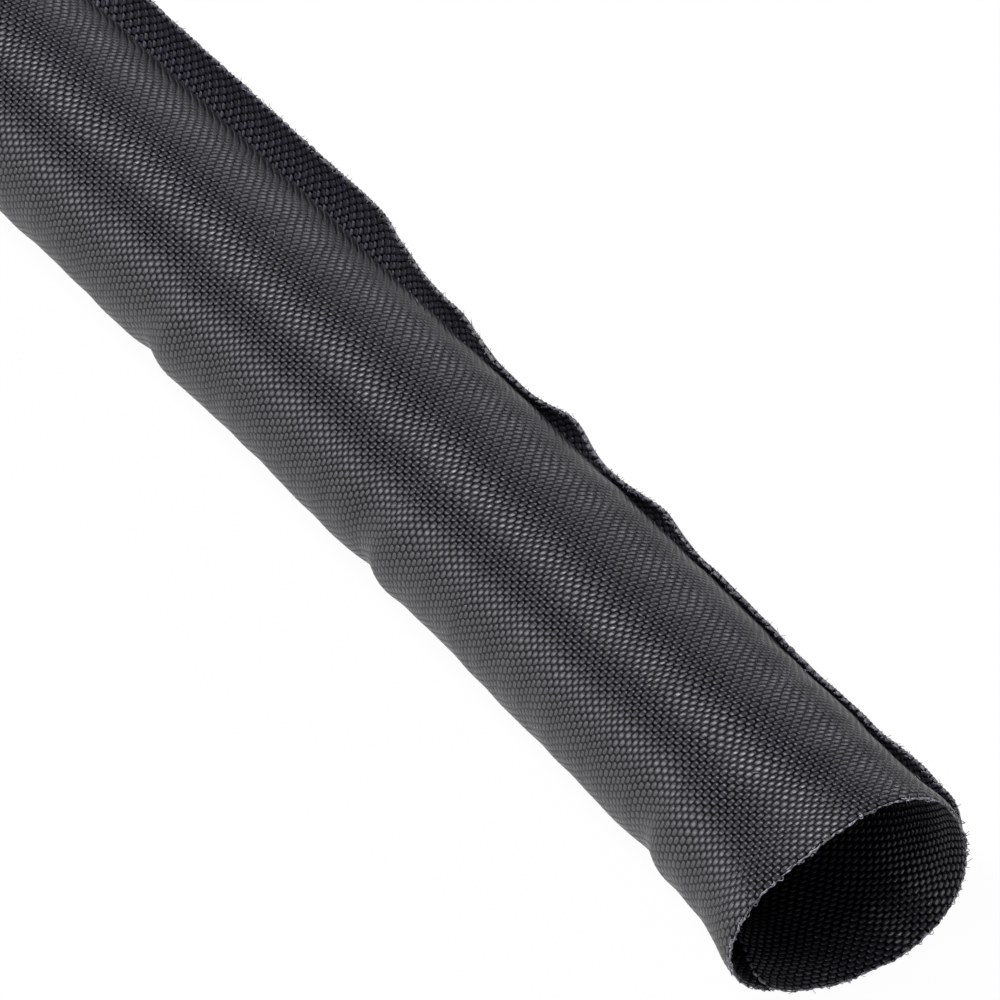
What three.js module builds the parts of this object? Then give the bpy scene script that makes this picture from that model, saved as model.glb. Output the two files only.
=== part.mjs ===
// Self-wrapping woven cable sleeve, a cut piece lying on its side. Millimetres, +Z up, +X along the sleeve.
// One woven sheet is heat set into a spiral. Going round from the inner free edge, the sheet passes the
// bottom, the right side and the top once, then laps over itself under the bottom and up the right side,
// where its outer free edge stands off as a loose flap. Both ends are cut across with a hot knife.
// Angles are in degrees in the cross-section, from +Y towards +Z, and keep counting past 360 on the second
// turn: 270 is the bottom of the inner turn and 630 the bottom of the outer one.

import * as THREE from 'three';

// The cut piece
const cutLength = 150;
const wallThickness = 0.6;
const turnGap = 0.4;

// The curl
const innerEdgeAngle = 222;
const outerEdgeAngle = 750;
const boreRadiusFar = 9.5;
const boreRadiusMouth = 10.4;
const restWidth = 6.5;
const sidewaysBow = 1.5;

// The woven hoops lean: the side that faces this angle lies further along +X
const leanSlope = 0.11;
const leanToward = 27;

// The mouth, pulled open at the +X end
const mouthFlare = 0.3;
const mouthFlareReach = 17;
const mouthLobeHeight = 0.9;
const mouthLobeCount = 3;
const mouthLobeAngle = 59;
const mouthLobeReach = 12;

// A lip that turns out at the mouth's left side, on both turns
const lipHeight = 1.6;
const lipReach = 5.8;
const lipAngle = 550;
const lipSpread = 60;

// The inner free edge springs inwards at the mouth
const innerEdgeLift = 0.45;
const innerEdgeLiftReach = 14;
const innerEdgeCurl = 55;

// The outer free edge, a flap that stands open towards the far end
const flapHinge = 625;
const flapLiftNear = 0.15;
const flapLiftFar = 3.3;
const flapClosedTo = 74;
const flapOpenFrom = 105;

// Bulges of the flap's edge: distance from the mouth, height and half width along the sleeve
const flapBulges = [
  { at: 6, height: 0.3, reach: 5 },
  { at: 22, height: -0.25, reach: 6 },
  { at: 38, height: -0.15, reach: 4 },
  { at: 48, height: 0.5, reach: 4 },
  { at: 63, height: 0.8, reach: 4 },
  { at: 108, height: -0.6, reach: 16 },
];

// Creases pressed into the outside at the left: distance from the mouth at the crease's foot
const creaseStations = [19, 66, 103];
const creaseDepth = 0.5;
const creaseHalfWidth = 2.4;
const creaseRidgeOffset = 3.6;
const creaseRidgeShare = 0.7;
const creaseAngle = 548;
const creaseSpread = 70;
const creaseRun = 3.2;

// Facets
const stationCount = 62;
const turnSteps = 44;
const stationCrowding = 1.15;

const turnPitch = wallThickness + turnGap;
const halfWall = wallThickness / 2;
const fullTurn = 360;
const overTheTop = 450;

const radians = THREE.MathUtils.degToRad;
const bell = (distance, reach) => Math.exp(-((distance / reach) ** 2));

// A shape pressed through the lapped wall is met twice, once on each turn
const turns = [0, fullTurn];
const onBothTurns = (shape) => turns.reduce((sum, turn) => sum + shape(turn), 0);

// Distance from the mouth's cut to a station along the sleeve
const fromMouth = (station) => cutLength / 2 - station;

// How far the flap's edge stands off its own spiral at a station
function flapLift(station) {
  const away = fromMouth(station);
  const opening = THREE.MathUtils.smoothstep(away, flapClosedTo, flapOpenFrom);
  const bulges = flapBulges.reduce(
    (sum, bulge) => sum + bulge.height * bell(away - bulge.at, bulge.reach),
    0,
  );
  return flapLiftNear + flapLiftFar * opening + bulges;
}

// One crease: a dent with a low ridge on its mouth side, which drifts towards the mouth as it climbs
function oneCrease(angle, station, away) {
  const line = cutLength / 2 - away + (creaseRun * (creaseAngle - angle)) / 90;
  const dent = bell(station - line, creaseHalfWidth);
  const ridge = creaseRidgeShare * bell(station - line - creaseRidgeOffset, creaseHalfWidth);
  return creaseDepth * (ridge - dent) * bell(angle - creaseAngle, creaseSpread);
}

function creaseRise(angle, station) {
  return creaseStations.reduce(
    (sum, away) => sum + onBothTurns((turn) => oneCrease(angle + turn, station, away)),
    0,
  );
}

// Radius of the middle of the wall: a spiral that opens towards the mouth, then the local shapes on it
function wallRadius(angle, station) {
  const share = station / cutLength + 0.5;
  const away = fromMouth(station);
  const bore = THREE.MathUtils.lerp(boreRadiusFar, boreRadiusMouth, share);
  const spiral = halfWall + (turnPitch * (angle - innerEdgeAngle)) / fullTurn;
  const flare = mouthFlare * bell(away, mouthFlareReach);
  const lobeTurn = radians(mouthLobeCount * (angle - mouthLobeAngle));
  const lobes = mouthLobeHeight * Math.cos(lobeTurn) * bell(away, mouthLobeReach);
  const lipAround = onBothTurns((turn) => bell(angle + turn - lipAngle, lipSpread));
  const lip = lipHeight * lipAround * bell(away, lipReach);
  const curl = bell(angle - innerEdgeAngle, innerEdgeCurl) * bell(away, innerEdgeLiftReach);
  const open = THREE.MathUtils.smoothstep(angle, flapHinge, outerEdgeAngle) * flapLift(station);
  const local = flare + lobes + lip - innerEdgeLift * curl + open + creaseRise(angle, station);
  return bore + spiral + local;
}

// Height of the sleeve's centre, which lets the lowest turn settle on a flat strip of restWidth
function centreHeight(station) {
  const lowest = wallRadius(270 + fullTurn, station);
  return Math.sqrt(lowest ** 2 - (restWidth / 2) ** 2) + halfWall;
}

// Middle of the wall in the cross-section; each turn is pressed flat where it rests on what is below it
function wallMiddle(angle, station) {
  const radius = wallRadius(angle, station);
  const turnsBelow = angle < overTheTop ? 1 : 0;
  const floor = halfWall + turnsBelow * turnPitch;
  const bow = sidewaysBow * (1 - (station / (cutLength / 2)) ** 2);
  const y = bow + radius * Math.cos(radians(angle));
  const z = centreHeight(station) + radius * Math.sin(radians(angle));
  return new THREE.Vector2(y, Math.max(z, floor));
}

// Direction across the wall, away from the bore
function wallNormal(angle, station) {
  const step = 0.01;
  const ahead = wallMiddle(angle + step, station);
  const behind = wallMiddle(angle - step, station);
  const along = ahead.sub(behind).normalize();
  return new THREE.Vector2(along.y, -along.x);
}

// A point of one face of the wall: side is 1 outside, -1 inside and 0 in the middle
function wallPoint(angle, station, side) {
  const middle = wallMiddle(angle, station);
  const point = middle.addScaledVector(wallNormal(angle, station), side * halfWall);
  const lean = radians(leanToward);
  const height = point.y - centreHeight(station);
  const ahead = leanSlope * (point.x * Math.cos(lean) + height * Math.sin(lean));
  return new THREE.Vector3(station + ahead, point.x, point.y);
}

// The wall as one closed loop per station: out along the outer face, round the free edge, back inside
function makeSleeve() {
  const angleAt = (step) => THREE.MathUtils.lerp(innerEdgeAngle, outerEdgeAngle, step / turnSteps);
  const loop = [];
  for (let step = 0; step <= turnSteps; step += 1) {
    loop.push({ angle: angleAt(step), side: 1 });
  }
  for (let step = turnSteps; step >= 0; step -= 1) {
    loop.push({ angle: angleAt(step), side: -1 });
  }
  const loopLength = loop.length;
  const vertices = [];
  for (let row = 0; row <= stationCount; row += 1) {
    const away = cutLength * (1 - row / stationCount) ** stationCrowding;
    const station = cutLength / 2 - away;
    loop.forEach(({ angle, side }) => vertices.push(...wallPoint(angle, station, side).toArray()));
  }
  const faces = [];
  const quad = (a, b, c, d) => faces.push(a, b, c, a, c, d);
  for (let row = 0; row < stationCount; row += 1) {
    for (let at = 0; at < loopLength; at += 1) {
      const next = (at + 1) % loopLength;
      const here = row * loopLength;
      const beyond = here + loopLength;
      quad(here + at, here + next, beyond + next, beyond + at);
    }
  }
  const lastRow = stationCount * loopLength;
  for (let step = 0; step < turnSteps; step += 1) {
    const inside = loopLength - 1 - step;
    quad(step, inside, inside - 1, step + 1);
    quad(lastRow + step, lastRow + step + 1, lastRow + inside - 1, lastRow + inside);
  }
  const geometry = new THREE.BufferGeometry();
  geometry.setAttribute('position', new THREE.Float32BufferAttribute(vertices, 3));
  geometry.setIndex(faces);
  return geometry;
}

// The origin is under the middle of the sleeve, on the surface that it lies on
function centreOnGround(geometry) {
  geometry.computeBoundingBox();
  const middle = geometry.boundingBox.getCenter(new THREE.Vector3());
  geometry.translate(-middle.x, -middle.y, -geometry.boundingBox.min.z);
  geometry.computeVertexNormals();
  return geometry;
}

const wovenYarn = new THREE.MeshStandardMaterial({ color: '#1c1d20', roughness: 0.55, metalness: 0 });
const sleeve = new THREE.Mesh(centreOnGround(makeSleeve()), wovenYarn);
sleeve.name = 'sleeve';

const part = new THREE.Group();
part.name = 'cable_sleeve';
part.add(sleeve);

export default part;
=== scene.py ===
# %% [markdown]
# # A self-wrapping woven cable sleeve
# The object is one woven sheet of black polyester yarn, heat set so that it curls up into a tube and laps
# over itself. Stiff yarns run round it as hoops and softer yarns run along it. This lesson builds the
# sheet as one surface worked out with numpy, weaves it in its material, and then adds what the hot knife
# and the loom left on its edges. Everything sits in the frame of the solid model, in metres.

# %% The frame
import math

import bpy
import numpy as np
from mathutils import Matrix, Vector


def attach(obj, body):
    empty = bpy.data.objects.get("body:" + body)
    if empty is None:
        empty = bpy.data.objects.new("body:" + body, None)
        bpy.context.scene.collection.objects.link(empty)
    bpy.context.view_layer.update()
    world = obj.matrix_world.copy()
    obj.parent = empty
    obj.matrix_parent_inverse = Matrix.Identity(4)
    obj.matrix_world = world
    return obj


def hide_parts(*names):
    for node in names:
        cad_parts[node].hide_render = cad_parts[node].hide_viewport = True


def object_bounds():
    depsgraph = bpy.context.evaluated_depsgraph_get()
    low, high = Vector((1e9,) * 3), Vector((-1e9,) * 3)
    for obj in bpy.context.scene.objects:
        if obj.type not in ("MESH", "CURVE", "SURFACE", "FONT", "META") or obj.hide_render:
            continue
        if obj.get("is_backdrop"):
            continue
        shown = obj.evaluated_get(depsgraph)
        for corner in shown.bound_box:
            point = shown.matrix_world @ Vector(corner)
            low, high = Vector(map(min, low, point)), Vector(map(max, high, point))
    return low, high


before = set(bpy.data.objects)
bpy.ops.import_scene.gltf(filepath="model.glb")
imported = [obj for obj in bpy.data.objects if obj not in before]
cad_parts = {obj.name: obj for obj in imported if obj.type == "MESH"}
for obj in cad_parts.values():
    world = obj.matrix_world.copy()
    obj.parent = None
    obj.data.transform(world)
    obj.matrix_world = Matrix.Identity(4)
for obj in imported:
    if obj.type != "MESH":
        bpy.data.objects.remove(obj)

cad_low, cad_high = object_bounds()
MM = 0.001
print("solid model's box:", [round(v, 4) for v in (*cad_low, *cad_high)])

# %% [markdown]
# ## The sizes of the curl
# They follow the solid model, in millimetres and degrees, with a finer mouth and flap than it has. Angles
# are measured in the cross-section from +Y towards +Z and keep counting past 360 on the second turn, so
# that 270 is the bottom of the inner turn and 630 the bottom of the outer one. A station is measured from
# the sleeve's middle. The flap's bulges and the creases are placed by their distance from the mouth.

# %% Sizes in millimetres
CUT_LENGTH = 150.0
WALL = 0.5
TURN_GAP = 0.2
INNER_EDGE, OUTER_EDGE = 222.0, 750.0
BORE_FAR, BORE_MOUTH = 9.7, 10.8
REST_WIDTH = 6.5
SIDEWAYS_BOW = 1.1
LEAN_SLOPE, LEAN_TOWARD = 0.12, 19.0
CUT_SLANT, CUT_SQUARE_AT = 1.8, 480.0
MOUTH_REACH = 12.0
OVAL_HEIGHT, OVAL_ANGLE = 0.37, 20.0
LOBE_HEIGHT, LOBE_COUNT, LOBE_ANGLE = 0.73, 3, 64.0
LIP_HEIGHT, LIP_REACH, LIP_ANGLE, LIP_SPREAD = 1.6, 4.9, 572.0, 60.0
FLARE_HEIGHT, FLARE_REACH, FLARE_ANGLE, FLARE_SPREAD = 0.6, 4.0, 708.0, 34.0
EDGE_LIFT, EDGE_LIFT_REACH, EDGE_CURL = 0.6, 14.0, 55.0
EDGE_ADVANCE, EDGE_ADVANCE_REACH = 10.0, 9.0
FLAP_HINGE, FLAP_STRAIGHTENING, FLAP_NEAR, FLAP_FAR = 625.0, 2.4, 0.08, 3.25
FLAP_CLOSED_TO, FLAP_OPEN_FROM = 75.0, 105.0
FLAP_BULGES = ((7, 0.6, 4.5), (24, -0.12, 5), (49, 0.85, 3.6),
               (64, 1.2, 3.6), (81.5, 0.75, 4.5), (97.5, 0.4, 3.5))
CREASES = (19.0, 66.0, 103.0)
CREASE_DEPTH, CREASE_HALF, CREASE_RIDGE_AT, CREASE_RIDGE = 0.5, 2.4, 3.6, 0.7
CREASE_ANGLE, CREASE_SPREAD, CREASE_RUN = 548.0, 70.0, 3.2

TURN_PITCH = WALL + TURN_GAP
TURNS = (0.0, 360.0)
OVER_THE_TOP, UNDER_THE_OUTER_TURN = 450.0, 630.0
FAR_END, MOUTH = 0.0, 1.0

# The yarns, counted on the photo: hoops along the sleeve and long yarns round it
HOOP_PITCH = 0.565
LONG_PITCH = 0.5
HOOPS = round(CUT_LENGTH / HOOP_PITCH)
print("hoops in the piece:", HOOPS)


# %% [markdown]
# ## The surface of the wall
# The middle of the wall is a spiral in every cross-section, and the spiral changes slowly along the sleeve.
# A spiral is easy to write as a radius that grows with the angle. On it lie the local shapes that make this
# piece itself: the flared mouth with its lip, the flap that stands open, and the creases. Each of them is a
# bell curve or a smooth step, which is simple to move and never tears the surface.

# %% Bell curves and smooth steps
def bell(distance, reach):
    """One at zero distance, falling away as e to the power of minus the square of distance over reach."""
    return np.exp(-((distance / reach) ** 2))


def smooth_step(value, low, high):
    """Zero below low, one above high, and three squares less two cubes of the share in between."""
    share = np.clip((value - low) / (high - low), 0, 1)
    return share * share * (3 - 2 * share)


# %% What lies on the spiral
def crease_rise(angle, station):
    """Each crease is a dent with a low ridge beside it, along a line that drifts as it climbs the wall."""
    rise = 0
    for away in CREASES:
        for turn in TURNS:
            line = CUT_LENGTH / 2 - away + CREASE_RUN * (CREASE_ANGLE - angle - turn) / 90
            dent = bell(station - line, CREASE_HALF)
            ridge = CREASE_RIDGE * bell(station - line - CREASE_RIDGE_AT, CREASE_HALF)
            rise = rise + CREASE_DEPTH * (ridge - dent) * bell(angle + turn - CREASE_ANGLE, CREASE_SPREAD)
    return rise


def mouth_rise(angle, away):
    """Oval and lobes as cosines of the angle, a lip and a flare on both turns, less the inner edge's curl."""
    oval = OVAL_HEIGHT * np.cos(np.radians(2 * (angle - OVAL_ANGLE)))
    lobes = LOBE_HEIGHT * np.cos(np.radians(LOBE_COUNT * (angle - LOBE_ANGLE)))
    lip = LIP_HEIGHT * sum(bell(angle + turn - LIP_ANGLE, LIP_SPREAD) for turn in TURNS)
    flare = FLARE_HEIGHT * sum(bell(angle + turn - FLARE_ANGLE, FLARE_SPREAD) for turn in TURNS)
    curl = EDGE_LIFT * bell(angle - INNER_EDGE, EDGE_CURL) * bell(away, EDGE_LIFT_REACH)
    shape = (oval + lobes) * bell(away, MOUTH_REACH) + lip * bell(away, LIP_REACH)
    return shape + flare * bell(away, FLARE_REACH) - curl


def flap_rise(angle, away):
    """A power of the way gone from the hinge, times a lift that opens by a smooth step and has bulges."""
    way = np.maximum((angle - FLAP_HINGE) / (OUTER_EDGE - FLAP_HINGE), 0) ** FLAP_STRAIGHTENING
    bulges = sum(height * bell(away - at, reach) for at, height, reach in FLAP_BULGES)
    return way * (FLAP_NEAR + FLAP_FAR * smooth_step(away, FLAP_CLOSED_TO, FLAP_OPEN_FROM) + bulges)


# %% Radius of the wall
def wall_radius(angle, station):
    """The bore's radius, plus a spiral that gains one pitch a turn, plus the local shapes."""
    away = CUT_LENGTH / 2 - station
    bore = BORE_FAR + (BORE_MOUTH - BORE_FAR) * (station / CUT_LENGTH + 0.5)
    spiral = WALL / 2 + TURN_PITCH * (angle - INNER_EDGE) / 360
    return bore + spiral + mouth_rise(angle, away) + flap_rise(angle, away) + crease_rise(angle, station)


def centre_height(station):
    """Height at which the lowest turn is cut by the ground in a strip as wide as REST_WIDTH."""
    return np.sqrt(wall_radius(UNDER_THE_OUTER_TURN, station) ** 2 - (REST_WIDTH / 2) ** 2) + WALL / 2


# %% Points of the wall
def wall_middle(angle, station):
    """The spiral as Y and Z, moved sideways by a parabola, and held up by the ground or the turn below."""
    radius = wall_radius(angle, station)
    floor = WALL / 2 + np.where(angle < OVER_THE_TOP, TURN_PITCH, 0)
    bow = SIDEWAYS_BOW * (1 - (2 * station / CUT_LENGTH) ** 2)
    y = bow + radius * np.cos(np.radians(angle))
    z = centre_height(station) + radius * np.sin(np.radians(angle))
    return y, np.maximum(z, floor)


def leaning(y, z, station):
    """How far a point lies towards LEAN_TOWARD from the sleeve's centre line."""
    lean = math.radians(LEAN_TOWARD)
    return y * math.cos(lean) + (z - centre_height(station)) * math.sin(lean)


def wall_point(angle, station, across=0.0, along=0.0):
    """Middle of the wall, plus across along the wall's normal and along its tangent, leaned towards +X."""
    step = 0.01
    y, z = wall_middle(angle, station)
    y_on, z_on = wall_middle(angle + step, station)
    y_off, z_off = wall_middle(angle - step, station)
    dy, dz = y_on - y_off, z_on - z_off
    size = np.hypot(dy, dz)
    y = y + (across * dz + along * dy) / size
    z = z + (along * dz - across * dy) / size
    x = station + LEAN_SLOPE * leaning(y, z, station)
    return np.stack(np.broadcast_arrays(x, y, z), axis=-1)


# %% [markdown]
# ## The edges of the sheet
# Two shares place any point of the sheet: how far round it is from the inner free edge to the outer one, and
# how far along it is from the far end to the mouth. At the mouth the inner edge reaches further round, and
# the cut there isn't square, so the angle and the station both depend on the two shares.

# %% Angle and station from the two shares
def angle_at(share_round, share_along):
    """Even steps between the free edges, less the inner edge's advance near the mouth."""
    advance = EDGE_ADVANCE * bell(CUT_LENGTH * (1 - share_along), EDGE_ADVANCE_REACH)
    return INNER_EDGE + (OUTER_EDGE - INNER_EDGE) * share_round - advance * (1 - share_round) ** 3


def station_at(angle, share_along):
    """A share of the way from the square far end to the mouth's cut, which drops back with the angle."""
    drop = CUT_SLANT * (angle - CUT_SQUARE_AT) / 360
    return -CUT_LENGTH / 2 + (CUT_LENGTH - drop) * share_along


# The solid model is centred on its box, so the same shift puts this surface in its frame
trial_round, trial_along = np.meshgrid(np.linspace(0, 1, 200), np.linspace(0, 1, 120))
trial_angle = angle_at(trial_round, trial_along)
trial_station = station_at(trial_angle, trial_along)
trial = np.concatenate([wall_point(trial_angle, trial_station, side * WALL / 2) for side in (-1, 1)])
trial = trial.reshape(-1, 3)
SHIFT = (np.array(cad_low) + np.array(cad_high)) / 2 / MM - (trial.min(0) + trial.max(0)) / 2
SHIFT[2] = -trial[:, 2].min()
print("shift into the frame, mm:", np.round(SHIFT, 3))


def in_frame(points):
    """Millimetres of the sleeve's own frame to metres of the shared one."""
    return (points + SHIFT) * MM


# %% [markdown]
# ## Where the hoops lie
# The hoops are not quite evenly beaten up on the loom, and in the photo they lean a little more than the
# cut ends do. Two rows of the grid belong to each hoop, one on its crown and one in the groove beside it,
# so the ribs of the weave are real shape. Their spacing is a running sum of a pitch that wanders slowly.

# %% Rows of the grid, two to a hoop
RIB_DEPTH = 0.1
EXTRA_LEAN = 0.12
LEAN_FADE = 12.0
CUT_SHARE = 0.02

# Each wave of the pitch: its share of the pitch, its rate in radians a row, and where it starts
PITCH_WAVES = ((0.07, 0.31, 1), (0.05, 0.083, 0), (0.05, 0.73, 2))

row = np.arange(2 * HOOPS + 1)
wander = 1 + sum(share * np.sin(rate * row + start) for share, rate, start in PITCH_WAVES)
row_share = np.concatenate([[0], np.cumsum(wander[1:])])
row_share = row_share / row_share[-1]
crown = row % 2


def hoop_station(angle, share_along):
    """Hoops lean further than the cut ends: an added share of the place across, fading at both ends."""
    station = station_at(angle, share_along)
    y, z = wall_middle(angle, station)
    ends = bell(CUT_LENGTH / 2 - station, LEAN_FADE) + bell(CUT_LENGTH / 2 + station, LEAN_FADE)
    fading = np.clip(1 - ends, 0, 1) * smooth_step(share_along, 0, CUT_SHARE)
    fading = fading * smooth_step(1 - share_along, 0, CUT_SHARE)
    return station + EXTRA_LEAN * fading * leaning(y, z, station)


# %% [markdown]
# ## The columns of the grid
# One loop of columns runs out along the outer face, round the flap's edge, back along the inner face and
# round the inner edge. The columns stand closer where the wall faces the viewer. The edges are half round,
# as a selvedge is.

# %% Columns of the grid
FACE_STEPS = 88
EDGE_STEPS = 3
FINE_STEPS = 2000
TOWARDS_VIEWER, VIEWER_SPREAD, VIEWER_CROWDING = 480.0, 120.0, 1.3
FLAP_SPREAD, FLAP_CROWDING = 40.0, 1.0

edge_turn = math.pi * np.arange(1, EDGE_STEPS + 1) / (EDGE_STEPS + 1)
fine_share = np.linspace(0, 1, FINE_STEPS)
fine_angle = INNER_EDGE + (OUTER_EDGE - INNER_EDGE) * fine_share
density = 1 + VIEWER_CROWDING * bell(fine_angle - TOWARDS_VIEWER, VIEWER_SPREAD)
density = density + FLAP_CROWDING * bell(fine_angle - OUTER_EDGE, FLAP_SPREAD)
density_sum = np.cumsum(density) - density[0]
face_share = np.interp(np.linspace(0, density_sum[-1], FACE_STEPS + 1), density_sum, fine_share)

column_share = np.concatenate([face_share, np.ones(EDGE_STEPS), face_share[::-1], np.zeros(EDGE_STEPS)])
ones = np.ones(FACE_STEPS + 1)
column_across = np.concatenate([ones, np.cos(edge_turn), -ones, -np.cos(edge_turn)])
column_along = np.concatenate([0 * ones, np.sin(edge_turn), 0 * ones, -np.sin(edge_turn)])
columns = len(column_share)

fine_y, fine_z = wall_middle(fine_angle, 0.0)
arc = np.concatenate([[0], np.cumsum(np.hypot(np.diff(fine_y), np.diff(fine_z)))])


def way_round(angle):
    """Length of the sheet in millimetres from its inner edge to an angle, going on evenly past the edge."""
    past = np.minimum(angle - INNER_EDGE, 0) * math.pi / 180 * BORE_MOUTH
    return np.interp(angle, fine_angle, arc) + past


# %% [markdown]
# ## Slow unevenness
# Handled cloth is never a perfect tube. A few long sine waves across each other, of less than a tenth of a
# millimetre, break the highlights the way that the photo shows, and they come out the same every time. They
# go a whole number of times round, so both turns move together and keep the gap between them.

# %% Unevenness
# Each wave: its height in millimetres, its rate in radians a millimetre, its times round, and its start
UNEVEN_WAVES = ((0.045, 0.21, 2, 0), (0.04, 0.37, -3, 1), (0.03, 0.83, 1, 2), (0.025, 1.31, -2, 0))


def unevenness(angle, station):
    """A sum of sine waves over angle and station, in millimetres."""
    turn = np.radians(angle)
    return sum(height * np.sin(rate * station + times * turn + start)
               for height, rate, times, start in UNEVEN_WAVES)


# %% [markdown]
# ## Putting a surface into a mesh
# Every new piece is given as an array of points and an array of faces. One function makes the object,
# checks which way its faces point by its volume, and writes the map of the yarns and the share of the
# flap's inner face when there are any.

# %% Making a piece
def make_piece(name, points, faces, material, yarns=None, flap_inside=None):
    """Mesh object at the origin from points in metres; faces are turned round if the volume is negative."""
    mesh = bpy.data.meshes.new(name)
    mesh.from_pydata(points.tolist(), [], faces)
    mesh.update()
    mesh.calc_loop_triangles()
    corners = np.empty(3 * len(mesh.loop_triangles), dtype=np.int64)
    mesh.loop_triangles.foreach_get("vertices", corners)
    a, b, c = (points[corners.reshape(-1, 3)[:, k]] for k in range(3))
    if float((a * np.cross(b, c)).sum()) < 0:
        mesh.flip_normals()
    if yarns is not None:
        corner_vertex = np.empty(len(mesh.loops), dtype=np.int64)
        mesh.loops.foreach_get("vertex_index", corner_vertex)
        layer = mesh.uv_layers.new(name="yarns")
        layer.data.foreach_set("uv", yarns[corner_vertex].astype(np.float32).ravel())
        share = mesh.attributes.new("flap_inside", "FLOAT", "POINT")
        share.data.foreach_set("value", flap_inside.astype(np.float32).ravel())
    mesh.polygons.foreach_set("use_smooth", np.ones(len(mesh.polygons), dtype=bool))
    mesh.materials.append(material)
    piece = bpy.data.objects.new(name, mesh)
    bpy.context.scene.collection.objects.link(piece)
    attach(piece, "root")
    print(name, "triangles:", len(corners) // 3)
    return piece


# %% [markdown]
# ## Colours and nodes
# Colours are written as sRGB hex values, as a colour picker shows them, and one function turns them to the
# linear values that a shader wants. One function adds a node, sets it and links what goes into it.

# %% Colour and node helpers
def linear(hex_colour):
    """sRGB hex to linear RGBA: a straight line near black and a power of 2.4 above it."""
    parts = [int(hex_colour[i:i + 2], 16) / 255 for i in (1, 3, 5)]
    return tuple(v / 12.92 if v <= 0.04045 else ((v + 0.055) / 1.055) ** 2.4 for v in parts) + (1.0,)


def add(tree, kind, inputs=(), **settings):
    """New node with its settings; inputs maps a socket to a value, a socket or a node's first output."""
    node = tree.nodes.new(kind)
    for key, value in settings.items():
        setattr(node, key, value)
    pairs = inputs.items() if isinstance(inputs, dict) else enumerate(inputs)
    for key, value in pairs:
        if isinstance(value, bpy.types.Node):
            value = value.outputs[0]
        if isinstance(value, bpy.types.NodeSocket):
            tree.links.new(value, node.inputs[key])
        else:
            node.inputs[key].default_value = value
    return node


def new_material(name):
    """Material with an empty node tree and its output node."""
    material = bpy.data.materials.new(name)
    material.use_nodes = True
    material.node_tree.nodes.clear()
    return material, material.node_tree, add(material.node_tree, "ShaderNodeOutputMaterial")


# %% [markdown]
# ## The woven yarn
# The cloth is polyester: hoops of stiff multifilament yarn with softer yarns running along them, in a plain
# weave beaten up so tightly that mostly the hoops show. Each hoop shows as a row of long pads, one for every
# two long yarns, and the next hoop's pads sit in between. The map counts yarns, so the pattern is arithmetic
# on it. A pad is a rounded brick: one less the fourth power of the way along it and the square of the way
# across it, and from hoop to hoop the bricks shift by half a pad. Between the pads the cloth is open, and
# there the colour and the gloss both fall nearly to black as painted shade, since the bump casts none. On
# the flap's inner face the hoops go in pairs, which gives it broader ribs, and there the colour is painted
# paler, most on the ribs, as painted light for the light that this face catches. The filaments give the
# satin gleam, so the finish is drawn out across them. A fine noise along each hoop stands for the strands,
# drawn three times as coarse as they are so that they show.

# %% Where a point lies on its hoop and its pad
# The most that a hoop's pads stray from their even places, as a share of a pad
HOOP_STRAY = 0.06

woven, tree, out = new_material("woven_polyester_yarn")
yarn_map = add(tree, "ShaderNodeUVMap", uv_map="yarns")
counts = add(tree, "ShaderNodeSeparateXYZ", [yarn_map])
hoop_phase = add(tree, "ShaderNodeMath", [counts.outputs["Y"]], operation="FRACT")
hoop_number = add(tree, "ShaderNodeMath", [counts.outputs["Y"]], operation="FLOOR")
hoop_chance = add(tree, "ShaderNodeTexWhiteNoise", {"W": hoop_number}, noise_dimensions="1D")
half_shift = add(tree, "ShaderNodeMath", [hoop_number, 0.5], operation="MULTIPLY")
half_shift = add(tree, "ShaderNodeMath", [hoop_chance.outputs["Value"], HOOP_STRAY, half_shift],
                 operation="MULTIPLY_ADD")
pad_place = add(tree, "ShaderNodeMath", [counts.outputs["X"], 0.5, half_shift], operation="MULTIPLY_ADD")
pad_phase = add(tree, "ShaderNodeMath", [pad_place], operation="FRACT")
pad_number = add(tree, "ShaderNodeMath", [pad_place], operation="FLOOR")

# %% Relief of the pads
# The half sizes are shares of a pad's length and of a hoop's width. The strands and the ribs are shares of
# a pad's height, and that height is in millimetres.
PAD_HALF_LENGTH, PAD_HALF_WIDTH, PAD_ROUNDNESS = 0.425, 0.53, 0.6
STRAND_SCALE = (0.3, 6.0, 1.0)
STRAND_RELIEF, FLAP_INSIDE_RIB_RELIEF = 0.25, 1.6
PAD_RELIEF = 0.2

along_pad = add(tree, "ShaderNodeMath", [pad_phase, 0.5], operation="SUBTRACT")
along_pad = add(tree, "ShaderNodeMath", [along_pad, 1 / PAD_HALF_LENGTH], operation="MULTIPLY")
along_pad = add(tree, "ShaderNodeMath", [along_pad, along_pad], operation="MULTIPLY")
across_pad = add(tree, "ShaderNodeMath", [hoop_phase, 0.5], operation="SUBTRACT")
across_pad = add(tree, "ShaderNodeMath", [across_pad, 1 / PAD_HALF_WIDTH], operation="MULTIPLY")
across_pad = add(tree, "ShaderNodeMath", [across_pad, across_pad], operation="MULTIPLY")
to_rim = add(tree, "ShaderNodeMath", [along_pad, along_pad, across_pad], operation="MULTIPLY_ADD")
pad_height = add(tree, "ShaderNodeMath", [1.0, to_rim], operation="SUBTRACT", use_clamp=True)
pad_height = add(tree, "ShaderNodeMath", [pad_height, PAD_ROUNDNESS], operation="POWER")
strand_place = add(tree, "ShaderNodeVectorMath", [yarn_map, STRAND_SCALE], operation="MULTIPLY")
strands = add(tree, "ShaderNodeTexNoise", {"Vector": strand_place, "Scale": 1.0, "Detail": 2.0,
                                           "Roughness": 0.6})
flap_inside_share = add(tree, "ShaderNodeAttribute", attribute_name="flap_inside")
rib = add(tree, "ShaderNodeMath", [counts.outputs["Y"], math.pi], operation="MULTIPLY")
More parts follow.
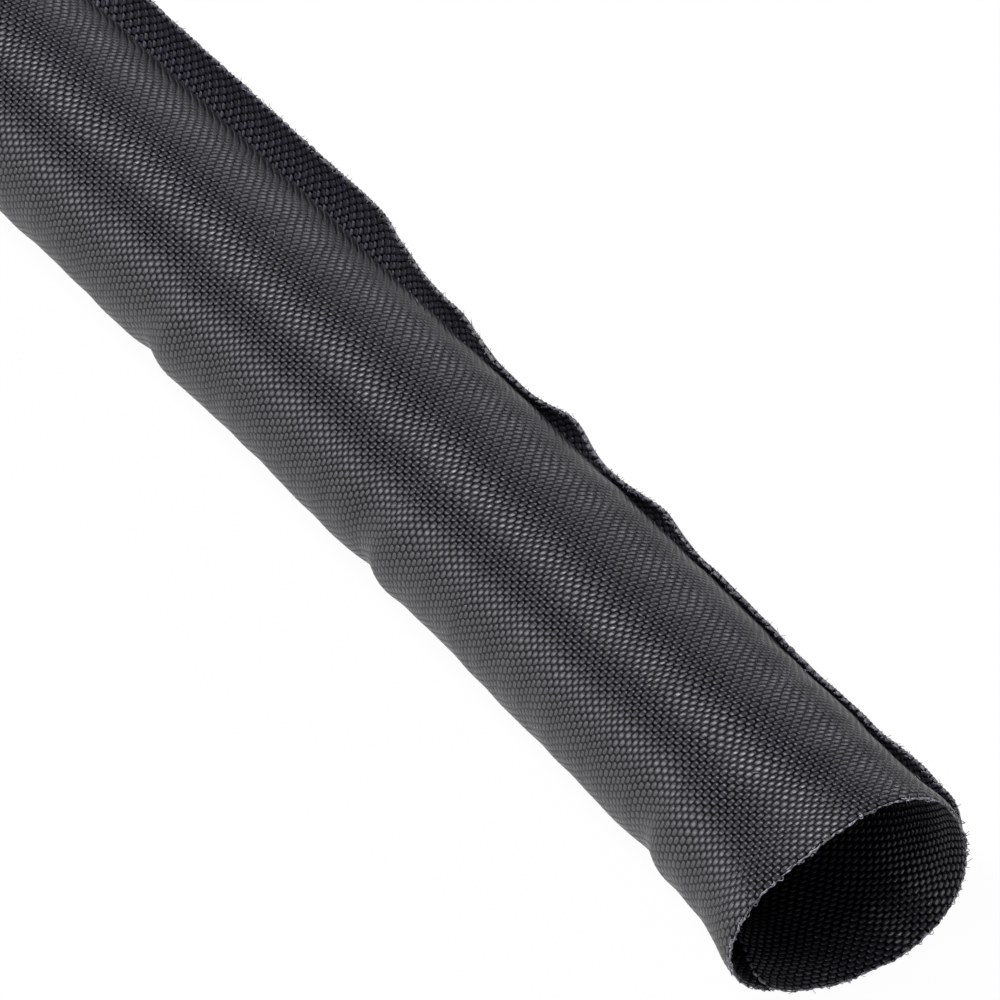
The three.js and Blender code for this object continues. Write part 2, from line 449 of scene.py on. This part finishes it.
rib = add(tree, "ShaderNodeMath", [rib], operation="SINE")
rib = add(tree, "ShaderNodeMath", [rib, 0.5, 0.5], operation="MULTIPLY_ADD")
flap_inside_rib = add(tree, "ShaderNodeMath", [rib, flap_inside_share.outputs["Fac"]], operation="MULTIPLY")
relief = add(tree, "ShaderNodeMath", [strands, STRAND_RELIEF, pad_height], operation="MULTIPLY_ADD")
relief = add(tree, "ShaderNodeMath", [flap_inside_rib, FLAP_INSIDE_RIB_RELIEF, relief], operation="MULTIPLY_ADD")
bump = add(tree, "ShaderNodeBump", {"Height": relief, "Strength": 1.0, "Distance": PAD_RELIEF * MM})

# %% Woven polyester yarn, black and heat set
# The groove colour and the groove gloss are painted shade, for the dark between the pads that the bump
# doesn't cast.
YARN_LIGHT, YARN_DARK, PAINTED_GROOVE_SHADE, PAINTED_LIGHT_ON_FLAP_INSIDE = "#201f29", "#0d0c12", "#030304", "#807c8c"
CLOUD_SCALE = 160.0
PAD_SHARE, HOOP_SHARE, STRAND_SHARE = 0.4, 0.2, 0.4
# Painted light: the flap's inner face is drawn paler, most on its ribs, for the light that this face catches.
PAINTED_LIGHT_ON_RIBS, PAINTED_LIGHT_ALL_OVER = 0.8, 0.2
PAD_STARTS, PAD_IS_WHOLE = 0.25, 0.65
PAINTED_GROOVE_SHADE_ON_GLOSS = (0.05, 0.05, 0.05, 1)
CHANCE_LOW, CHANCE_HIGH = 0.2, 0.8
DARK_ROUGHNESS, LIGHT_ROUGHNESS, CLOUD_ROUGHNESS = 0.38, 0.22, 0.1

pad_name = add(tree, "ShaderNodeCombineXYZ", [pad_number, hoop_number, 0.0])
pad_chance = add(tree, "ShaderNodeTexWhiteNoise", [pad_name], noise_dimensions="2D")
cloth_place = add(tree, "ShaderNodeTexCoord")
clouds = add(tree, "ShaderNodeTexNoise", {"Vector": cloth_place.outputs["Object"], "Scale": CLOUD_SCALE,
                                          "Detail": 2.0})
chance = add(tree, "ShaderNodeMath", [pad_chance.outputs["Value"], PAD_SHARE], operation="MULTIPLY")
chance = add(tree, "ShaderNodeMath", [hoop_chance.outputs["Value"], HOOP_SHARE, chance],
             operation="MULTIPLY_ADD")
chance = add(tree, "ShaderNodeMath", [strands, STRAND_SHARE, chance], operation="MULTIPLY_ADD")
yarn_colour = add(tree, "ShaderNodeMix", {0: chance, 6: linear(YARN_DARK), 7: linear(YARN_LIGHT)},
                  data_type="RGBA")
# Painted light on the flap's inner face: a share of the pale colour, larger on the rib crests.
painted_light_share = add(tree, "ShaderNodeMath", [flap_inside_rib, PAINTED_LIGHT_ON_RIBS, PAINTED_LIGHT_ALL_OVER],
                  operation="MULTIPLY_ADD")
painted_light_share = add(tree, "ShaderNodeMath", [painted_light_share, flap_inside_share.outputs["Fac"]], operation="MULTIPLY")
yarn_colour = add(tree, "ShaderNodeMix", {0: painted_light_share, 6: yarn_colour.outputs[2],
                                          7: linear(PAINTED_LIGHT_ON_FLAP_INSIDE)}, data_type="RGBA")
# Painted shade: off the pads the colour falls to the groove colour and the gloss is tinted nearly black.
on_pad = add(tree, "ShaderNodeMapRange", {"Value": pad_height, "From Min": PAD_STARTS,
                                          "From Max": PAD_IS_WHOLE})
colour_with_painted_shade = add(tree, "ShaderNodeMix", {0: on_pad, 6: linear(PAINTED_GROOVE_SHADE), 7: yarn_colour.outputs[2]},
                   data_type="RGBA")
gloss_with_painted_shade = add(tree, "ShaderNodeMix", {0: on_pad, 6: PAINTED_GROOVE_SHADE_ON_GLOSS, 7: (1, 1, 1, 1)},
                 data_type="RGBA")
roughness = add(tree, "ShaderNodeMapRange", {"Value": chance, "From Min": CHANCE_LOW, "From Max": CHANCE_HIGH,
                                             "To Min": DARK_ROUGHNESS, "To Max": LIGHT_ROUGHNESS})
roughness = add(tree, "ShaderNodeMath", [clouds, CLOUD_ROUGHNESS, roughness], operation="MULTIPLY_ADD")
round_the_sleeve = add(tree, "ShaderNodeTangent", direction_type="UV_MAP", uv_map="yarns")
satin = add(tree, "ShaderNodeBsdfPrincipled",
            {"Base Color": colour_with_painted_shade.outputs[2], "Roughness": roughness, "Normal": bump,
             "Tangent": round_the_sleeve, "Specular Tint": gloss_with_painted_shade.outputs[2], "IOR": 1.5,
             "Specular IOR Level": 1.0, "Anisotropic": 0.5, "Anisotropic Rotation": 0.25,
             "Sheen Weight": 0.03, "Sheen Roughness": 0.4})
tree.links.new(satin.outputs[0], out.inputs[0])
print("woven yarn: hoops every", HOOP_PITCH, "mm, long yarns every", LONG_PITCH, "mm")


# %% [markdown]
# ## The fused and the loose yarn
# A hot knife melts the cut yarn ends into a thin crust, which is polyester again but paler and glassier,
# because the bubbles and the broken skin scatter light. What escaped the knife is loose filament, drawn
# pale as painted highlight for the light that so thin a filament catches against the black cloth. Where a
# hoop turns back at the long edge it is the same yarn, rubbed, and drawn paler as painted highlight for
# the light that the edge catches.

# %% Fused yarn ends, loose filament and turned-back yarn
def speckled(name, dark, pale, scale, rough, relief_mm, low=0.36, high=0.64):
    """Principled surface whose colour and relief follow one noise; scale is its lumps in a metre."""
    material, nodes, output = new_material(name)
    place = add(nodes, "ShaderNodeTexCoord")
    grain = add(nodes, "ShaderNodeTexNoise", {"Vector": place.outputs["Object"], "Scale": scale,
                                              "Detail": 3.0, "Roughness": 0.65})
    spread = add(nodes, "ShaderNodeMapRange", {"Value": grain, "From Min": low, "From Max": high})
    colour = add(nodes, "ShaderNodeMix", {0: spread, 6: linear(dark), 7: linear(pale)}, data_type="RGBA")
    lumps = add(nodes, "ShaderNodeBump", {"Height": grain, "Strength": 0.8, "Distance": relief_mm * MM})
    surface = add(nodes, "ShaderNodeBsdfPrincipled",
                  {"Base Color": colour.outputs[2], "Roughness": rough, "Normal": lumps, "IOR": 1.5})
    nodes.links.new(surface.outputs[0], output.inputs[0])
    return material


fused = speckled("fused_yarn_ends", "#1c1c1f", "#b6b7bd", scale=2300.0, rough=0.35, relief_mm=0.08,
                 low=0.42, high=0.64)
# Painted highlight: the loose filament is drawn pale for the light that a thin filament catches.
loose = speckled("loose_filament", "#4a4a4d", "#a9aaad", scale=900.0, rough=0.4, relief_mm=0.02)
# Painted highlight: the turned-back yarn is drawn paler than the cloth for the light that the edge catches.
turned = speckled("turned_back_yarn", "#333236", "#8b898f", scale=2300.0, rough=0.42, relief_mm=0.04)


# %% [markdown]
# ## Building the sleeve
# The grid is the product of the rows and the columns above. The face distance from the middle of the wall is
# half its thickness on a hoop's crown and a little less in the groove, and the knife leaves the wall thinner
# at the cuts. The last faces close the two cut ends, so that the sheet is one closed body with a true
# thickness. A share is one on the flap's inner face, where the material draws broader ribs and paints a
# paler colour as painted light.

# %% Points of the sheet
CUT_THINNING, CUT_THIN_REACH = 0.4, 0.7
FLAP_INSIDE_FROM, FLAP_INSIDE_FULL = 650.0, 700.0

along_grid = np.broadcast_to(row_share[:, None], (len(row), columns))
angle_grid = angle_at(column_share, along_grid)
station_grid = hoop_station(angle_grid, along_grid)
from_cut = CUT_LENGTH * np.minimum(row_share, 1 - row_share)
half = WALL / 2 - RIB_DEPTH * (1 - crown)
half = (half * (1 - CUT_THINNING * (1 - smooth_step(from_cut, 0, CUT_THIN_REACH))))[:, None]
across_grid = column_across * half + unevenness(angle_grid, station_grid)
sheet_points = wall_point(angle_grid, station_grid, across_grid, column_along * half)
sheet_points[..., 2] = np.maximum(sheet_points[..., 2], 0)
sheet_yarns = np.stack([(way_round(angle_grid) + column_along * half) / LONG_PITCH,
                        np.broadcast_to(row[:, None] / 2, angle_grid.shape)], axis=-1)
sheet_flap_inside = smooth_step(angle_grid, FLAP_INSIDE_FROM, FLAP_INSIDE_FULL) * (column_across < 0)

# %% Faces of the sheet
corner = np.arange(columns)
first = (np.arange(len(row) - 1) * columns)[:, None]
following = (corner + 1) % columns
quads = np.stack([first + corner, first + following, first + columns + following, first + columns + corner],
                 axis=-1).reshape(-1, 4)
outer = np.arange(FACE_STEPS)
inner = 2 * FACE_STEPS + EDGE_STEPS + 1 - outer
cap = np.stack([outer, inner, inner - 1, outer + 1], axis=-1)
last = (len(row) - 1) * columns
flap_cap = np.arange(FACE_STEPS, FACE_STEPS + EDGE_STEPS + 2)
edge_cap = np.append(np.arange(2 * FACE_STEPS + EDGE_STEPS + 1, columns), 0)
ends = [*cap.tolist(), *(cap[:, ::-1] + last).tolist()]
for rounded in (flap_cap, edge_cap):
    ends += [rounded[::-1].tolist(), (rounded + last).tolist()]

sleeve = make_piece("woven_sheet", in_frame(sheet_points).reshape(-1, 3), quads.tolist() + ends, woven,
                    sheet_yarns.reshape(-1, 2), sheet_flap_inside)
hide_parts("sleeve")


# %% [markdown]
# ## Tubes along paths
# The crust, the turned-back hoops and the loose ends are all thin tubes. One function carries a ring of
# points along many paths at once: the direction of each path gives two directions across it, and the ring
# is laid out in those two. Both ends are closed, and a path that would go below the ground lies on it.

# %% Many tubes at once
def tubes(paths, radius, sides, upright=(0.31, 0.52, 0.79)):
    """Circles round every point of every path, in the two directions across the path.

    paths has the shape tubes, points, 3, and radius has the shape tubes, points. The paths never run along
    upright.
    """
    count, length = paths.shape[:2]
    paths = paths.copy()
    paths[..., 2] = np.maximum(paths[..., 2], radius)
    ahead = np.gradient(paths, axis=1)
    ahead = ahead / np.linalg.norm(ahead, axis=-1, keepdims=True)
    side_way = np.cross(ahead, upright)
    side_way = side_way / np.linalg.norm(side_way, axis=-1, keepdims=True)
    up_way = np.cross(side_way, ahead)
    turn = 2 * math.pi * np.arange(sides) / sides
    ring = side_way[:, :, None] * np.cos(turn)[:, None] + up_way[:, :, None] * np.sin(turn)[:, None]
    points = (paths[:, :, None] + radius[:, :, None, None] * ring).reshape(-1, 3)
    start = (np.arange(count)[:, None] * length + np.arange(length - 1)).reshape(-1, 1) * sides
    around = np.arange(sides)
    beside = (around + 1) % sides
    next_ring = start + sides
    walls = np.stack([start + around, start + beside, next_ring + beside, next_ring + around], axis=-1)
    near_end = (np.arange(count)[:, None] * length * sides) + around[::-1]
    far_end = (np.arange(count)[:, None] * length + length - 1) * sides + around
    return points, walls.reshape(-1, 4).tolist() + near_end.tolist() + far_end.tolist()


def joined(*parts):
    """Several sets of points and faces as one."""
    points, faces, used = [], [], 0
    for more_points, more_faces in parts:
        points.append(more_points)
        faces += [[corner + used for corner in face] for face in more_faces]
        used += len(more_points)
    return np.concatenate(points), faces


# %% [markdown]
# ## The crust on the cut ends
# The knife leaves a thin lumpy bead along the cut edge. It has a small tooth for every pair of long yarns,
# since each yarn end melts into its own drop, and it wanders a little off the line of the cut.

# %% Fused bead along both cuts
BEAD_POINTS, BEAD_SIDES = 1000, 7
TOOTH_LENGTH, CUT_WANDER, BEAD_ASIDE = 0.17, 0.09, 0.11
BEAD_RADIUS, BEAD_SWELL = 0.08, 0.025
rng = np.random.default_rng(11)


def slow_noise(count, spacing):
    """Random values joined by straight lines, one every spacing samples, from minus one to one."""
    knots = rng.uniform(-1, 1, count // spacing + 3)
    return np.interp(np.arange(count) / spacing, np.arange(len(knots)), knots)


def cut_bead(share_along):
    """Bead along one cut, at the mouth or the far end: a path with teeth and a radius that swells."""
    end = 1 if share_along == MOUTH else -1
    angle = angle_at(np.linspace(0, 1, BEAD_POINTS), share_along)
    stray = 1.2 * slow_noise(BEAD_POINTS, 9)
    teeth = 0.5 + 0.5 * np.cos(math.pi * way_round(angle) / LONG_PITCH + stray)
    out_from_cut = TOOTH_LENGTH * teeth * (0.6 + 0.4 * slow_noise(BEAD_POINTS, 4))
    out_from_cut = out_from_cut + CUT_WANDER * slow_noise(BEAD_POINTS, 23)
    path = wall_point(angle, station_at(angle, share_along), BEAD_ASIDE * slow_noise(BEAD_POINTS, 6))
    path[:, 0] += end * out_from_cut
    radius = BEAD_RADIUS + BEAD_SWELL * (teeth + slow_noise(BEAD_POINTS, 3))
    return tubes(in_frame(path)[None], radius[None] * MM, BEAD_SIDES, (1, 0, 0))


bead = make_piece("fused_ends", *joined(cut_bead(MOUTH), cut_bead(FAR_END)), fused)

# %% [markdown]
# ## Hoops turned back at the long edges
# At a selvedge every hoop yarn turns round and comes back as the next hoop. Each turn is a small half circle
# in the plane of the cloth, from the crown of one hoop to the crown of the next.

# %% Turned-back hoops
LOOP_REACH, LOOP_VARIETY, LOOP_LIFT, LOOP_START = 0.24, 0.35, 0.06, 0.1
HOOP_YARN_RADIUS = 0.14
turn_row = np.arange(1, 2 * HOOPS - 2, 4)
half_circle = np.linspace(-0.1, math.pi + 0.1, 9)


def turned_hoops(share_round, way):
    """Half circles on one long edge: way is 1 where the angle grows towards the edge."""
    low, high = row_share[turn_row][:, None], row_share[turn_row + 2][:, None]
    share_along = (low + high) / 2 - (high - low) / 2 * np.cos(half_circle)
    angle = angle_at(share_round, share_along)
    loop_reach = LOOP_REACH * np.sin(half_circle) * (1 + LOOP_VARIETY * rng.uniform(-1, 1, low.shape))
    lift = LOOP_LIFT * rng.uniform(-1, 1, low.shape)
    path = wall_point(angle, hoop_station(angle, share_along), lift, way * (LOOP_START + loop_reach))
    return tubes(in_frame(path), np.full(path.shape[:2], HOOP_YARN_RADIUS * MM), 6)


selvedge = make_piece("turned_hoops", *joined(turned_hoops(1, 1), turned_hoops(0, -1)), turned)

# %% [markdown]
# ## Loose filaments
# Small loops and broken ends stand out of the cut, a few hairs lie on the cloth, and hundreds of very
# short ends stand along the flap's edge. Each is a curve of a few points: a bow for a loop, a bent line
# for an end.

# %% Loops and loose ends
LOOP_RADIUS, END_TAPER, HAIR_RADIUS, FUZZ_RADIUS = 0.045, 0.02, 0.025, 0.03


def loops_on_cut(share_along, count, tall, wide):
    """Bows that leave the cut and come back to it: a half sine outwards and a straight run along it."""
    end = 1 if share_along == MOUTH else -1
    middle = rng.uniform(INNER_EDGE + 3, OUTER_EDGE - 3, (count, 1))
    width = rng.uniform(0.3, 1.0, (count, 1)) * wide
    height = rng.uniform(0.25, 1.0, (count, 1)) * tall
    run = np.linspace(0, 1, 8)
    angle = middle + width * (run - 0.5)
    aside = 0.2 * rng.uniform(-1, 1, (count, 1)) + rng.uniform(-0.5, 0.7, (count, 1)) * run * (1 - run)
    path = wall_point(angle, station_at(angle, share_along), aside)
    path[..., 0] += end * (height * np.sin(math.pi * run) - 0.1)
    return tubes(in_frame(path), np.full(path.shape[:2], LOOP_RADIUS * MM), 4)


def ends_on_cut(share_along, count, long):
    """Bent ends: straight out of the cut, turning aside by the square of the way gone."""
    end = 1 if share_along == MOUTH else -1
    middle = rng.uniform(INNER_EDGE + 2, OUTER_EDGE - 2, (count, 1))
    length = rng.uniform(0.3, 1.0, (count, 1)) * long
    run = np.linspace(0, 1, 6)
    angle = middle + rng.uniform(-5, 5, (count, 1)) * run ** 2
    aside = rng.uniform(-0.2, 0.2, (count, 1)) + rng.uniform(-0.6, 0.8, (count, 1)) * run ** 2
    path = wall_point(angle, station_at(angle, share_along), aside)
    path[..., 0] += end * (length * run * (1 - 0.3 * run) - 0.05)
    return tubes(in_frame(path), (LOOP_RADIUS - END_TAPER * run + 0 * length) * MM, 4)


def hairs_on_cloth(count, station_low, station_high, angle_low, angle_high):
    """Short hairs that lie on the outer face, mostly along the sleeve."""
    middle = rng.uniform(angle_low, angle_high, (count, 1))
    place = rng.uniform(station_low, station_high, (count, 1))
    run = np.linspace(-0.5, 0.5, 7)
    bend = rng.uniform(-5, 5, (count, 1)) * run ** 2
    above = WALL / 2 + 0.05 + 0.2 * (0.25 - run ** 2)
    path = wall_point(middle + rng.uniform(-4, 4, (count, 1)) * run + bend,
                      place + rng.uniform(0.4, 1.3, (count, 1)) * run, above)
    return tubes(in_frame(path), np.full(path.shape[:2], HAIR_RADIUS * MM), 4)


def fuzz_on_flap(count):
    """Very short ends along the flap's edge, which the light picks out as a pale speckled line."""
    place = rng.uniform(-CUT_LENGTH / 2 + 2, CUT_LENGTH / 2 - 3, (count, 1))
    run = np.linspace(0, 1, 5)
    path = wall_point(OUTER_EDGE + 0 * run, place + rng.uniform(-0.5, 0.5, (count, 1)) * run,
                      rng.uniform(-0.2, 0.25, (count, 1)) + rng.uniform(-0.3, 0.3, (count, 1)) * run ** 2,
                      0.2 + rng.uniform(0.08, 0.3, (count, 1)) * run)
    return tubes(in_frame(path), np.full(path.shape[:2], FUZZ_RADIUS * MM), 4)


# %% All the loose filaments
mouth_end = CUT_LENGTH / 2
filaments = joined(loops_on_cut(MOUTH, 210, 0.45, 3.6), ends_on_cut(MOUTH, 45, 0.5),
                   loops_on_cut(FAR_END, 100, 0.45, 3.6), ends_on_cut(FAR_END, 30, 0.5),
                   hairs_on_cloth(5, mouth_end - 6, mouth_end - 1.5, 395, 470),
                   hairs_on_cloth(4, -mouth_end + 5, mouth_end - 8, 400, 560), fuzz_on_flap(900))
frays = make_piece("loose_filaments", *filaments, loose)

# %% [markdown]
# ## The camera
# The photo looks down into the mouth from some way off, so that the sleeve hardly narrows with distance.
# The direction, the distance and the scale come from fitting the solid's outline to the photo's. The mark is
# the middle of the mouth, and the camera is turned until it falls on the photo's pixel for it.

# %% Camera
PHOTO_SIZE = 1000
CAMERA_TURN, CAMERA_RISE = math.radians(52.95), math.radians(47.42)
CAMERA_DISTANCE = 1.679
PIXEL_AT_MOUTH = 0.0954 * MM
mark = Vector((74.71 * MM, -0.14 * MM, 13.0 * MM))
mark_pixel = (859.4, 884.65)

back = Vector((math.sin(CAMERA_TURN) * math.cos(CAMERA_RISE), -math.cos(CAMERA_TURN) * math.cos(CAMERA_RISE),
               math.sin(CAMERA_RISE)))
right = Vector((math.cos(CAMERA_TURN), math.sin(CAMERA_TURN), 0))
straight = Matrix((right, back.cross(right), back)).transposed()
focal_pixels = CAMERA_DISTANCE / PIXEL_AT_MOUTH
half_photo = PHOTO_SIZE / 2
sight = Vector(((mark_pixel[0] - half_photo) / focal_pixels, (half_photo - mark_pixel[1]) / focal_pixels, -1))
aside = sight.rotation_difference(Vector((0, 0, -1))).to_matrix()

lens = bpy.data.cameras.new("camera")
lens.sensor_width = 36
lens.lens = focal_pixels / PHOTO_SIZE * lens.sensor_width
lens.clip_end = 20
camera = bpy.data.objects.new("camera", lens)
camera.matrix_world = Matrix.Translation(mark + back * CAMERA_DISTANCE) @ (straight @ aside).to_4x4()
bpy.context.scene.collection.objects.link(camera)
bpy.context.scene.camera = camera
print("lens, mm:", round(lens.lens))

# %% [markdown]
# ## The floor and the light
# The floor is white to the camera and in reflections, and it still takes a part of the shadow. Three long
# soft lamps make the bands on the cloth: one nearly overhead for the bright band along the top, one low on
# the right and behind, and one close to the floor on the left. Their angles are counted as the curl's are.
# Between them the black yarn reflects the dim room.

# %% Floor
FLOOR_GLOW = 0.97
FLOOR_HALF = 4.0
white, tree, out = new_material("white_floor")
path_kind = add(tree, "ShaderNodeLightPath")
seen = add(tree, "ShaderNodeMath", [path_kind.outputs["Is Camera Ray"], path_kind.outputs["Is Glossy Ray"]],
           operation="MAXIMUM")
seen = add(tree, "ShaderNodeMath", [seen, path_kind.outputs["Is Transmission Ray"]], operation="MAXIMUM")
seen = add(tree, "ShaderNodeMath", [seen, FLOOR_GLOW], operation="MULTIPLY")
paint = add(tree, "ShaderNodeBsdfDiffuse", {"Color": linear("#f2f2f2")})
glow = add(tree, "ShaderNodeEmission", {"Color": (1, 1, 1, 1), "Strength": 1.0})
floor_look = add(tree, "ShaderNodeMixShader", [seen, paint, glow])
tree.links.new(floor_look.outputs[0], out.inputs[0])

floor_mesh = bpy.data.meshes.new("floor")
floor_mesh.from_pydata([(-FLOOR_HALF, -FLOOR_HALF, 0), (FLOOR_HALF, -FLOOR_HALF, 0),
                        (FLOOR_HALF, FLOOR_HALF, 0), (-FLOOR_HALF, FLOOR_HALF, 0)], [], [(0, 1, 2, 3)])
floor_mesh.materials.append(white)
floor = bpy.data.objects.new("floor", floor_mesh)
bpy.context.scene.collection.objects.link(floor)
floor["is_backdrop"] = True

# %% Lamps and room
LAMP_DISTANCE = 0.75
LAMP_BACK = -0.35
LAMP_LENGTH = 1.3
COOL_WHITE = (0.95, 0.94, 1.0)


def long_lamp(name, angle, width, watts):
    """Area lamp at an angle of the cross-section, LAMP_LENGTH long along X, facing the sleeve."""
    data = bpy.data.lights.new(name, "AREA")
    data.shape = "RECTANGLE"
    data.size, data.size_y, data.energy = LAMP_LENGTH, width, watts
    data.color = COOL_WHITE
    lamp = bpy.data.objects.new(name, data)
    ahead = Vector((1, 0, 0))
    outward = Vector((0, math.cos(angle), math.sin(angle)))
    place = Vector((LAMP_BACK, 0, 0)) + LAMP_DISTANCE * outward
    turned_to_sleeve = Matrix((ahead, outward.cross(ahead), outward)).transposed()
    lamp.matrix_world = Matrix.Translation(place) @ turned_to_sleeve.to_4x4()
    bpy.context.scene.collection.objects.link(lamp)
    print(name, "at", [round(v, 2) for v in place])


long_lamp("top_lamp", math.radians(110), width=0.14, watts=7.5)
long_lamp("right_lamp", math.radians(38), width=0.22, watts=3.6)
long_lamp("left_lamp", math.radians(170), width=0.26, watts=4.5)

ROOM_COLOUR, ROOM_STRENGTH = "#c6c5d6", 0.27
world = bpy.data.worlds.new("room")
world.use_nodes = True
world.node_tree.nodes["Background"].inputs["Color"].default_value = linear(ROOM_COLOUR)
world.node_tree.nodes["Background"].inputs["Strength"].default_value = ROOM_STRENGTH
bpy.context.scene.world = world
bpy.context.scene.view_settings.view_transform = "Standard"

# %% Boxes and finish
visual_low, visual_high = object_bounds()
corner_pairs = zip((*visual_low, *visual_high), (*cad_low, *cad_high))
print("grown by, mm:", [round((visual - cad) / MM, 2) for visual, cad in corner_pairs])
